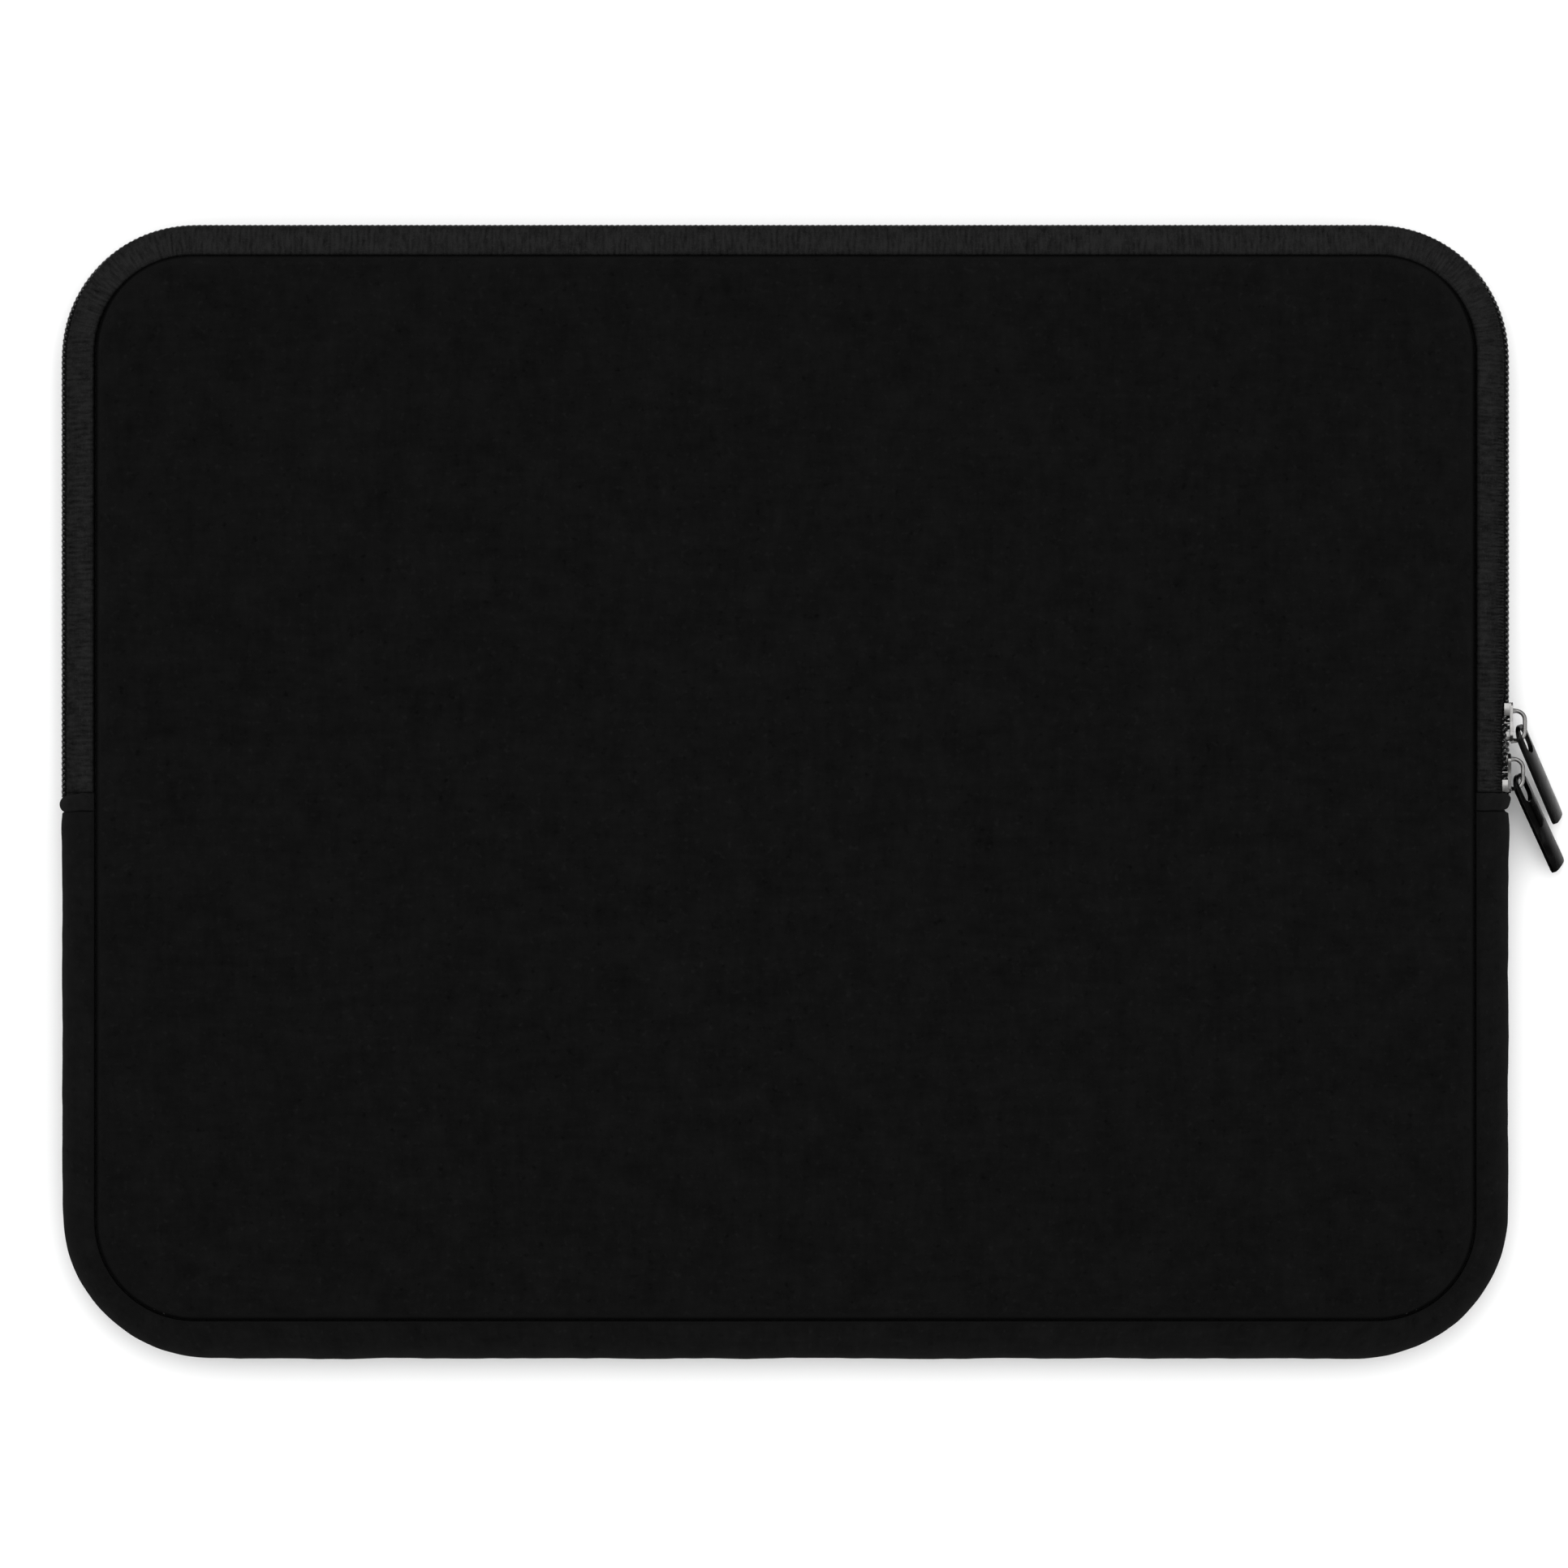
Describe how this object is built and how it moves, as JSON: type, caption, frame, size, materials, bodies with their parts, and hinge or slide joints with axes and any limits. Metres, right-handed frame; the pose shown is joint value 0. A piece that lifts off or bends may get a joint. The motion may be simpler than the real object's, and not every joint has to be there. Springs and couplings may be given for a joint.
{
  "type": "laptop sleeve",
  "caption": "Flat padded sleeve with rounded corners, closed by a coil zip round its mouth end with head-to-head sliders and flat metal pulls.",
  "frame": {"origin": "middle of the back panel's flat outer face, on which the sleeve lies", "axes": "+X to the right along the sleeve's width, to the side with the zip sliders; +Y towards the zipped mouth end; +Z out of the front face"},
  "size_m": [0.3541, 0.2666, 0.02],
  "materials": {
    "neoprene": "matte",
    "plush_lining": "matte",
    "zip_tape": "matte",
    "tab_cloth": "matte",
    "seam_binding": "matte",
    "thread": "matte",
    "nylon_coil": "gloss",
    "black_nickel": "gloss"
  },
  "bodies": {
    "sleeve": {"back_panel": "neoprene", "back_lining": "plush_lining", "back_zip_tape": "zip_tape", "back_coil": "nylon_coil", "back_seam_binding": "seam_binding", "back_seam_thread": "thread", "front_panel_lower": "neoprene", "front_lining_lower": "plush_lining", "front_zip_tape_end_right": "zip_tape", "front_zip_tape_end_left": "zip_tape", "front_coil_end_right": "nylon_coil", "front_coil_end_left": "nylon_coil", "front_seam_binding_lower": "seam_binding", "front_seam_thread_lower": "thread", "gusset": "neoprene", "gusset_lining": "plush_lining", "zip_end_tab_right": "tab_cloth", "zip_end_tab_left": "tab_cloth"},
    "mouth_flap": {"front_panel_upper": "neoprene", "front_lining_upper": "plush_lining", "front_zip_tape": "zip_tape", "front_coil": "nylon_coil", "front_seam_binding_upper": "seam_binding", "front_seam_thread_upper": "thread"},
    "upper_slider_body": {"upper_slider": "black_nickel"},
    "lower_slider_body": {"lower_slider": "black_nickel"},
    "upper_pull": {"upper_pull_tab": "black_nickel"},
    "lower_pull": {"lower_pull_tab": "black_nickel"}
  },
  "joints": [
    {"name": "mouth_fold", "type": "hinge", "parent": "sleeve", "child": "mouth_flap", "pos_m": [0, 0.004, 0.01], "axis": [1, 0, 0], "range_deg": [0, 90]},
    {"name": "upper_slider_run", "type": "slide", "parent": "sleeve", "child": "upper_slider_body", "axis": [0, 1, 0], "range_m": [0, 0.08]},
    {"name": "lower_slider_run", "type": "slide", "parent": "sleeve", "child": "lower_slider_body", "axis": [0, 1, 0], "range_m": [0, 0.0005]},
    {"name": "upper_pull_swing", "type": "hinge", "parent": "upper_slider_body", "child": "upper_pull", "pos_m": [0.17245, 0.0152, 0.01], "axis": [0, 0, 1], "range_deg": [0, 90]},
    {"name": "lower_pull_swing", "type": "hinge", "parent": "lower_slider_body", "child": "lower_pull", "pos_m": [0.17205, 0.0036, 0.01], "axis": [-1, 0, 0], "range_deg": [0, 45]}
  ]
}
